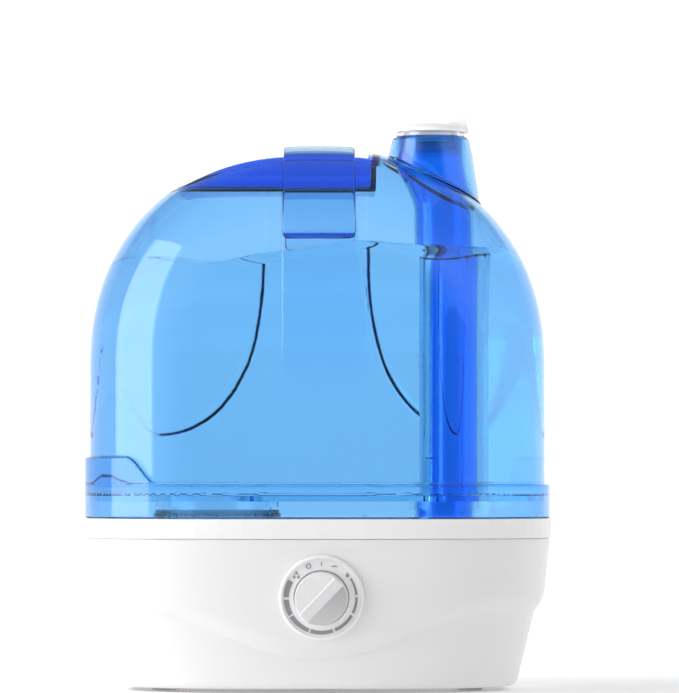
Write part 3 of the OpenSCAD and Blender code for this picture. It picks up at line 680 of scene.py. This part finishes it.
def housing_rows(wall):
    """Rings up the housing: its rounded lower edge, the lower wall, the wave's step and the upper wall."""
    x = np.abs(plan_ring(HALF_W, HALF_D, ANGLES)[0])
    near = np.minimum(x, WAVE_HALF_X) / WAVE_HALF_X
    crease = WAVE_LOW_Z + (WAVE_HIGH_Z - WAVE_LOW_Z) * (1 - np.cos(math.pi * near)) / 2
    lip_low = SEAM_Z - LIP_DROP * (1 + np.cos(math.pi * np.minimum(x, LIP_HALF_X) / LIP_HALF_X)) / 2
    lip_share = (np.sin(ANGLES) < 0) * smooth_step((LIP_END_X - x) / LIP_FADE)
    rows = []

    def row(inset, z):
        x, y = plan_ring(HALF_W - inset - wall, HALF_D - inset - wall, ANGLES)
        rows.append(np.stack([x, y + BODY_Y, np.broadcast_to(z, x.shape)], 1))

    low = HOUSING_Z + EDGE_R
    for q in np.radians(np.linspace(0, 75, 6)):
        row(inset_lower(low) + EDGE_R * (1 - math.sin(q)), HOUSING_Z + EDGE_R * (1 - math.cos(q)))
    for u in np.linspace(0, 1, 8):
        z = low + (crease - low) * u
        row(inset_lower(z), z)
    for u in np.linspace(0.06, 1, 12):
        ease = 0.35 * u + 0.65 * (1 - (1 - u) ** 2)
        row(inset_lower(crease) * (1 - ease) + inset_upper(crease + WAVE_STEP_H) * ease,
            crease + WAVE_STEP_H * u)
    top = crease + WAVE_STEP_H
    for u in np.linspace(0.08, 1, 26):
        z = top + (SEAM_Z - top) * u
        lip = LIP_OUT * smooth_step((z - lip_low) / 1.6) * lip_share
        row(inset_upper(z) - lip + SEAM_IN * smooth_step((z - SEAM_Z + SEAM_H) / SEAM_H), z)
    return rows


def base_housing():
    points, faces = loft(housing_rows(0.0) + housing_rows(BASE_WALL)[::-1])
    new_piece("housing_skin", points, faces, "base", "housing_white", sharp=40, replaces=["base_housing"])


# ---------------------------------------------------------------- tank
def tank_shell():
    def wall(p):
        outer = smooth_min(dome_distance(p, 0.0, band=True), foot_distance(p, 0.0), 0.9)
        outer = smooth_max(outer, TANK_LOW[2] - p[:, 2], 0.8)
        outer = smooth_max(outer, -recess_distance(p, 0.0), 1.6)
        cavity = smooth_max(cavity_distance(p), -recess_distance(p, TANK_WALL), 1.6)
        hole = np.hypot(p[:, 0] - TOWER_X, p[:, 1] - BODY_Y) - TOWER_HOLE_R
        hole = np.maximum(hole, TOWER_HOLE_Z - p[:, 2])
        return smooth_max(smooth_max(outer, -cavity, 0.5), -hole, 0.6)

    cell = 0.85
    points, normals, faces = skin_of(wall, TANK_LOW - 3.1, TANK_HIGH + 3.1, cell)
    new_piece("tank_skin", points, faces, "tank", "tank_blue", normals=normals, replaces=["tank_shell"])


def recess_liner():
    """The deep blue liner that fills the walls of the handle recess, a little inside the dome's face."""
    def liner(p):
        outside = recess_distance(p, -0.12)
        inside = recess_distance(p, -1.3)
        return smooth_max(smooth_max(outside, -inside, 0.3), dome_distance(p, -0.5), 0.5)

    cell = 0.55
    low = np.array([RECESS_START_X, BODY_Y - RECESS_W / 2, RECESS_Z]) - 1.5
    high = np.array([RECESS_END_X, BODY_Y + RECESS_W / 2, TANK_HIGH[2]]) + 1.5
    points, normals, faces = skin_of(liner, low, high, cell)
    new_piece("recess_liner", points, faces, "tank", "column_blue", looks=[RECESS_LOOK], normals=normals)


def handle_strap():
    """The strap lies on the dome at both ends and bridges the recess, thinner there."""
    middle = (STRAP_LOW[0] + STRAP_HIGH[0]) / 2
    half = (STRAP_HIGH[0] - STRAP_LOW[0]) / 2
    bridge = RECESS_W / 2 + 1

    def strap(p):
        y = np.abs(p[:, 1] - BODY_Y)
        side = np.abs(p[:, 0] - middle) - half
        # It grows out of the dome at its lower ends, and stands out a little more towards the top.
        rise = -0.8 + 1.7 * smooth_step((p[:, 2] - 199) / 4) + 0.75 * smooth_step((p[:, 2] - 210) / 24)
        outer = smooth_max(dome_distance(p, 0.0) - rise, side, 1.2)
        outer = smooth_max(outer, STRAP_END_Z - p[:, 2], 1.0)
        on_dome = smooth_max(dome_distance(p, -1.0), bridge - y, 1.0)
        over_gap = smooth_max(dome_distance(p, -1.9), y - bridge, 1.0)
        return smooth_max(outer, -smooth_min(on_dome, over_gap, 1.0), 0.6)

    cell = 0.7
    points, normals, faces = skin_of(strap, STRAP_LOW - 2.9, STRAP_HIGH + 2.9, cell)
    new_piece("strap_skin", points, faces, "tank", "handle_blue", normals=normals, replaces=["handle_strap"])


def dome_height(x, y):
    """Height of the dome's outer face over a point of the plan."""
    s = np.minimum(plan_level_of(x, y, WALL_W, WALL_W - SIDE), 0.999)
    return SHOULDER_Z + DOME_H * (1 - s ** DOME_N) ** (1 / DOME_N)


def tower_radius(z):
    levels = [205, 218.4, 240.4, TOWER_TOP - TOWER_EDGE, TOWER_TOP]
    return np.interp(z, levels, [22.9, 22.2, 18.8, 17.7, 17.0])


def mist_tower():
    """The tower stands on the dome, whose height its lower edge follows all the way round."""
    angles = round_angles(192)
    foot = np.full(len(angles), 225.0)
    for _ in range(12):     # the foot's radius depends on its height, and its height on the radius
        r = tower_radius(foot)
        foot = 0.5 * foot + 0.5 * (dome_height(TOWER_X + r * np.cos(angles), r * np.sin(angles)) + 0.25)
    rings = []

    def ring(radius, z):
        rings.append(circle(TOWER_X, radius, z, angles))

    edge = TOWER_TOP - TOWER_EDGE
    ring(tower_radius(foot) + 0.6, foot)
    ring(tower_radius(foot) + 0.25, foot + 0.35)
    for u in np.linspace(0.04, 1, 14):
        z = foot + (edge - foot) * u
        ring(tower_radius(z), z)
    for q in np.radians(np.linspace(12, 90, 8)):
        ring(15.2 + 2.5 * math.cos(q), edge + TOWER_EDGE * math.sin(q))
    for u in np.linspace(0, 1, 12):
        z = TOWER_TOP - 0.4 + (foot - TOWER_TOP + 0.4) * u
        ring(np.minimum(tower_radius(z) - TOWER_WALL, TOWER_BORE_R), z)
    points, faces = loft(rings)
    new_piece("tower_skin", points, faces, "tank", "tank_blue", sharp=50, replaces=["mist_tower"])


def tube_wall(name, outer_in, inner_in, looks, slot, replaces=()):
    """One wall of the mist tube: straight, then widening and shifting as a funnel up into the tower.

    outer_in and inner_in say how far its two faces stand in from the tube's outside."""
    angles = round_angles(144)
    low, high = TUBE_FOOT + outer_in, TOWER_TOP - 0.6
    levels = [(TUBE_X, TUBE_R, z) for z in np.linspace(low + 0.5, FUNNEL_Z, 24)]
    for u in np.linspace(0.08, 1, 14):
        ease = smooth_step(u * 1.35)
        levels.append((TUBE_X + (TOWER_X - TUBE_X) * ease, TUBE_R + (FUNNEL_R - TUBE_R) * ease,
                       FUNNEL_Z + (high - FUNNEL_Z) * u))
    rings = [circle(TUBE_X, TUBE_R - inner_in + 0.2, low, angles),
             circle(TUBE_X, TUBE_R - outer_in - 0.2, low, angles)]
    rings += [circle(x, r - outer_in, z, angles) for x, r, z in levels]
    rings += [circle(x, r - inner_in, z, angles) for x, r, z in levels[::-1]]
    points, faces = loft(rings)
    new_piece(name, points, faces, "tank", slot, looks=looks, sharp=50, replaces=replaces)


def mist_tube():
    """A clear sleeve with a deep blue liner in it."""
    tube_wall("tube_sleeve", 0.0, 0.9, [SLEEVE_LOOK], "tank_blue", ["mist_tube"])
    tube_wall("tube_liner", 1.0, TUBE_WALL, None, "column_blue")


def water():
    """The water in the tank. Its sides lie inside the tank's wall, so that light bends as it would there."""
    rng = np.random.default_rng(7)
    waves = [(rng.uniform(0.04, 0.22), rng.uniform(0, 2 * math.pi), rng.uniform(0, 2 * math.pi))
             for _ in range(16)]

    def surface(x, y):
        """Ripples, and a slight slosh that stands higher at the front than at the back."""
        ripples = sum(0.065 / k * np.sin(k * (x * math.cos(q) + y * math.sin(q)) + f) for k, q, f in waves)
        return WATER_Z - 0.025 * (y - BODY_Y) + ripples

    def body(p):
        side = cavity_distance(p) - TANK_WALL / 2
        collar = np.where(p[:, 2] < PLATE_TOP + COLLAR_H + 0.1, COLLAR_W, 0.0)
        tube = TUBE_R - TUBE_WALL / 2 + collar - np.hypot(p[:, 0] - TUBE_X, p[:, 1] - BODY_Y)
        d = smooth_max(side, p[:, 2] - surface(p[:, 0], p[:, 1]), 0.8)
        return smooth_max(smooth_max(d, tube, 0.5), PLATE_TOP + WATER_GAP - p[:, 2], 0.2)

    cell = 1.4
    low = np.array([-WALL_W, BODY_Y - WALL_W + SIDE, PLATE_TOP]) - 4.2
    high = np.array([WALL_W, BODY_Y + WALL_W - SIDE, WATER_Z + 8]) + 4.2
    points, normals, faces = skin_of(body, low, high, cell)
    new_piece("water", points, faces, "tank", "tank_blue", looks=[WATER_LOOK], normals=normals)


# ---------------------------------------------------------------- nozzle
def nozzle_cap():
    """A low crown with a short spout that leans out to the right and is open into the crown's bore."""
    foot = RING_TOP + 0.05
    lean = math.radians(SPOUT_LEAN)
    axis = np.array([math.sin(lean), 0, math.cos(lean)])
    mouth = np.array([CAP_HIGH[0] - 0.6, BODY_Y, CAP_HIGH[2] - 3.3])

    def cap(p):
        r = np.hypot(p[:, 0] - TOWER_X, p[:, 1] - BODY_Y)
        z = p[:, 2] - foot
        crown = ((r / CROWN_R) ** 3.4 + np.maximum(z / CROWN_H, 0) ** 2.2) ** (1 / 2.6) - 1
        crown = smooth_max(crown * CROWN_H, -z, 0.5)
        q = p - mouth
        along = q @ axis
        away = np.linalg.norm(q - along[:, None] * axis, axis=1)
        flare = SPOUT_R + 0.17 * np.minimum(along, 0)
        spout = smooth_max(away - flare, np.abs(along + SPOUT_L / 2) - SPOUT_L / 2, 0.5)
        solid = smooth_min(crown, smooth_max(spout, -z, 0.4), 2.2)
        bore = smooth_max(r - CAP_BORE_R, z - CAP_BORE_H, 0.8)
        throat = np.maximum(away - 2.1 - 0.15 * np.maximum(along + 3, 0), -along - 9)
        return smooth_max(solid, -np.minimum(bore, throat), 0.4)

    cell = 0.4
    points, normals, faces = skin_of(cap, CAP_LOW - 1.5, CAP_HIGH + 1.5, cell)
    new_piece("nozzle_skin", points, faces, "nozzle", "nozzle_white", normals=normals,
              replaces=["nozzle_cap"])


def nozzle_spigot():
    """The clear spigot under the cap, which turns in the tower's ring."""
    low, high = CAP_LOW[2], RING_TOP + 0.3
    corners = [(SPIGOT_R, low), (SPIGOT_R, high), (CAP_BORE_R, high), (CAP_BORE_R, low)]
    profile = round_profile(corners, [0.5, 0.1, 0.1, 0.5])
    points, faces = loft([circle(TOWER_X, r, z, round_angles(96)) for r, z in profile])
    new_piece("nozzle_spigot", points, faces, "nozzle", "nozzle_white",
              looks=[LOOKS["nozzle_ring_clear"]], sharp=50)


# ---------------------------------------------------------------- knob
def knob():
    """The dial's knob: a grip bar across it, a gentle face on one side and a hollow one on the other."""
    turn = joint("knob_turn")
    radius = (KNOB_HIGH[0] - KNOB_LOW[0]) / 2
    centre = np.array(turn["pos_m"]) / MM
    out, right = -np.array(turn["axis"]), np.array([1.0, 0.0, 0.0])
    up = np.cross(out, right)
    angle = math.radians(KNOB_ANGLE)
    along = math.sin(angle) * right + math.cos(angle) * up
    across = math.cos(angle) * right - math.sin(angle) * up

    def body(p):
        q = p - centre
        h, u = q @ out, q @ across
        r = np.hypot(u, q @ along)
        beside = np.abs(u) - GRIP_W / 2
        drop = np.maximum(beside, 0)
        gentle = KNOB_H - 1.1 - 0.26 * drop
        falling = KNOB_H - 0.3 - 0.78 * drop
        disc = smooth_max(r - radius, h - np.where(u < 0, gentle, falling), 0.5)
        bar = smooth_max(smooth_max(beside, r - radius + 0.35, 0.4), h - KNOB_H, 0.4)
        solid = smooth_max(smooth_min(disc, bar, 0.2), -0.5 - h, 0.3)
        nut_room = np.maximum(r - 6.6, h - 1.6)
        shaft_room = np.maximum(r - 3.05, h - 4.5)
        return np.maximum(solid, -np.minimum(nut_room, shaft_room))

    cell = 0.35
    points, normals, faces = skin_of(body, KNOB_LOW - 1.5, KNOB_HIGH + 1.5, cell)
    # The hollow face beside the grip bar gets the painted shade material; the rest of the knob keeps its own grey.
    middles = points[faces].mean(1) - centre
    painted_shade_faces = (middles @ across > GRIP_W / 2 + 0.1) & (middles @ out > 1.5)
    painted_shade_faces &= np.hypot(middles @ across, middles @ along) < radius - 0.4
    new_piece("knob_skin", points, faces, "knob", "knob_grey", looks=[LOOKS["knob_grey"], knob_painted_shade()],
              which=painted_shade_faces, normals=normals, replaces=["knob"])


# ---------------------------------------------------------------- carried-over CAD nodes
def finish_cad_nodes():
    """Every CAD node gets its slot's material; the tray, the brightest white, has one of its own."""
    slots = {s["node"]: s["material_slot"] for s in frame["record"]["subparts"]}
    own = {"base_tray": TRAY_LOOK}
    for name, node in frame["nodes"].items():
        node.data.materials.clear()
        node.data.materials.append(own.get(name, LOOKS[slots[name]]))


# ---------------------------------------------------------------- studio, in metres
# The room is white all round, but dark where the camera stands and dim overhead, so that nothing white lies
# over the clear blue parts: direction, cosines where it starts and ends to dim, and the share that is left.
DIM_PARTS = [((0, -1, 0), 0.62, 0.90, 0.14), ((0, 0.25, 0.97), 0.35, 0.80, 0.42)]


def room():
    world = bpy.data.worlds.new("studio")
    world.use_nodes = True
    bpy.context.scene.world = world
    tree = world.node_tree
    way = tree.nodes.new("ShaderNodeTexCoord")
    both = tree.nodes.new("ShaderNodeMath")
    both.operation = "MULTIPLY"
    for socket, (towards, start, end, share) in zip(both.inputs, DIM_PARTS):
        dot = tree.nodes.new("ShaderNodeVectorMath")
        dot.operation = "DOT_PRODUCT"
        dot.inputs[1].default_value = towards
        tree.links.new(way.outputs["Generated"], dot.inputs[0])
        shade = tree.nodes.new("ShaderNodeMapRange")
        shade.interpolation_type = "SMOOTHSTEP"
        for name, value in (("From Min", start), ("From Max", end), ("To Min", 1.0), ("To Max", share)):
            shade.inputs[name].default_value = value
        tree.links.new(dot.outputs["Value"], shade.inputs["Value"])
        tree.links.new(shade.outputs["Result"], socket)
    back = tree.nodes["Background"]
    back.inputs["Color"].default_value = (*WHITE, 1)
    tree.links.new(both.outputs["Value"], back.inputs["Strength"])


def soft_box():
    """A tall one at the front left: it lights that side and draws the highlight down the tank's corner."""
    width, height, radiance = 0.83, 1.32, 3.6
    place, aim = Vector((-1.12, -0.43, 0.66)), Vector((0, 0, 0.66))
    data = bpy.data.lights.new("soft_box", "AREA")
    data.shape = "RECTANGLE"
    data.size, data.size_y = width, height
    data.energy = radiance * math.pi * width * height
    lamp = bpy.data.objects.new("soft_box", data)
    bpy.context.scene.collection.objects.link(lamp)
    lamp.location = place
    lamp.rotation_euler = (aim - place).to_track_quat("-Z", "Y").to_euler()


def floor_paper():
    """White paper lit from below, but less so near the object's front, whose faces would lose their shade."""
    n = Nodes("floor_paper")
    n.link(n.tint(n.noise(2.0, 2.0), (0.90, 0.90, 0.90), (0.93, 0.93, 0.93)), n.bsdf.inputs["Base Color"])
    n.set(Roughness=0.9, Specular_IOR_Level=0.1, Emission_Color=(*WHITE, 1))
    away = n.add("ShaderNodeVectorMath", operation="DISTANCE")
    n.link(n.place, away.inputs[0])
    away.inputs[1].default_value = (0, -0.35, 0)
    n.link(n.remap(away.outputs["Value"], 0.14, 0.45, 0.3, 0.55), n.bsdf.inputs["Emission Strength"])
    return n.mat


def floor():
    """The floor runs far behind the object and bends up there into a backdrop."""
    width, front_y, bend_y, bend_r, top, under = 8.0, -3.0, 2.5, 0.35, 2.0, 0.0002
    bend = np.linspace(0.1, math.pi / 2, 12)
    rows = [(front_y, 0.0), (bend_y, 0.0)]
    rows += [(bend_y + bend_r * math.sin(q), bend_r * (1 - math.cos(q))) for q in bend]
    rows += [(bend_y + bend_r, top)]
    verts = [(s * width / 2, y, z - under) for y, z in rows for s in (-1, 1)]
    faces = [(2 * i, 2 * i + 1, 2 * i + 3, 2 * i + 2) for i in range(len(rows) - 1)]
    mesh = bpy.data.meshes.new("floor")
    mesh.from_pydata(verts, [], faces)
    obj = bpy.data.objects.new("floor", mesh)
    bpy.context.scene.collection.objects.link(obj)
    mesh.polygons.foreach_set("use_smooth", [True] * len(mesh.polygons))
    mesh.materials.append(floor_paper())


def camera():
    """Level with the tank's foot, square to the front, through a long lens."""
    distance, frame_h, sensor = 2.1, 0.3116, 36
    middle_x, eye_z, aim_z = 0.0099, 0.095, 0.1534
    data = bpy.data.cameras.new("camera")
    data.sensor_width = sensor
    data.lens = sensor * distance / frame_h
    data.clip_end = 20
    cam = bpy.data.objects.new("camera", data)
    bpy.context.scene.collection.objects.link(cam)
    place = Vector((middle_x, BODY_Y * MM - distance, eye_z))
    aim = Vector((middle_x, BODY_Y * MM, aim_z))
    cam.location = place
    cam.rotation_euler = (aim - place).to_track_quat("-Z", "Y").to_euler()
    bpy.context.scene.camera = cam


camera()
finish_cad_nodes()
base_housing()
tank_shell()
recess_liner()
handle_strap()
mist_tower()
mist_tube()
water()
nozzle_cap()
nozzle_spigot()
knob()
room()
soft_box()
floor()

scene = bpy.context.scene
scene.view_settings.view_transform = "Standard"
# Light crosses many clear walls before it leaves the tank.
scene.cycles.max_bounces = 40
scene.cycles.transmission_bounces = 40
scene.cycles.transparent_max_bounces = 16
